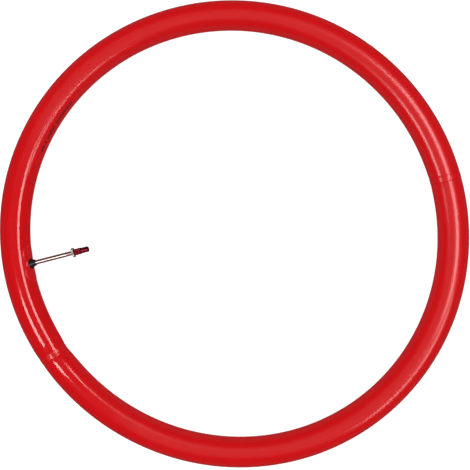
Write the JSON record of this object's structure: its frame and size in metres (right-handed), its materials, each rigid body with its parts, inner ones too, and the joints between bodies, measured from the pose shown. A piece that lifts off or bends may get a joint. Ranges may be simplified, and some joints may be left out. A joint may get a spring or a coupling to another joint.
{
  "type": "bicycle inner tube",
  "caption": "Inflated bicycle inner tube ring with a long Presta valve: a lock ring and screw cap on the stem, and a removable core that opens by a nut on its pin.",
  "frame": {"origin": "centre of the ring, in the middle of the tube's thickness", "axes": "+Z along the ring's axis, with the ring lying flat; the valve's root is on the -X side and the valve points towards +X"},
  "size_m": [0.621, 0.621, 0.0392],
  "materials": {
    "red_rubber": "satin",
    "black_rubber": "satin",
    "seal_rubber": "matte",
    "nickel_stem": "polished",
    "nickel_ring": "polished",
    "nickel_core": "satin",
    "brass_pin": "satin",
    "red_anodised": "gloss"
  },
  "bodies": {
    "tube": {"tube_long_length": "red_rubber", "tube_short_length": "red_rubber", "splice_band_left": "red_rubber", "splice_band_right": "red_rubber", "valve_patch": "red_rubber", "valve_root": "black_rubber", "valve_stem": "nickel_stem"},
    "lock_ring": {"lock_ring": "nickel_ring"},
    "gasket": {"core_gasket": "seal_rubber"},
    "core": {"core_body": "nickel_core"},
    "pin": {"core_pin": "brass_pin", "pin_seal": "seal_rubber"},
    "nut": {"tip_nut": "nickel_core"},
    "cap": {"valve_cap": "red_anodised"}
  },
  "joints": [
    {"name": "lock_ring_travel", "type": "slide", "parent": "tube", "child": "lock_ring", "axis": [0.9907, 0.1041, 0.0872], "range_m": [-0.008, 0]},
    {"name": "core_lift", "type": "slide", "parent": "tube", "child": "gasket", "axis": [0.9907, 0.1041, 0.0872], "range_m": [0, 0.00476]},
    {"name": "core_turn", "type": "hinge", "parent": "gasket", "child": "core", "pos_m": [-0.21074, 0.00646, 0.01045], "axis": [0.9907, 0.1041, 0.0872], "range_deg": [0, 2160]},
    {"name": "nut_turn", "type": "hinge", "parent": "core", "child": "nut", "pos_m": [-0.20281, 0.00729, 0.01115], "axis": [0.9907, 0.1041, 0.0872], "range_deg": [0, 1800]},
    {"name": "pin_press", "type": "slide", "parent": "core", "child": "pin", "axis": [0.9907, 0.1041, 0.0872], "range_m": [-0.002, 0]},
    {"name": "cap_off", "type": "slide", "parent": "core", "child": "cap", "axis": [0.9907, 0.1041, 0.0872], "range_m": [0, 0.022]}
  ],
  "couplings": [
    {"joint": "core_turn", "follows": "core_lift", "rad_per_m": 7913.3},
    {"joint": "nut_turn", "follows": "pin_press", "rad_per_m": -15708}
  ]
}
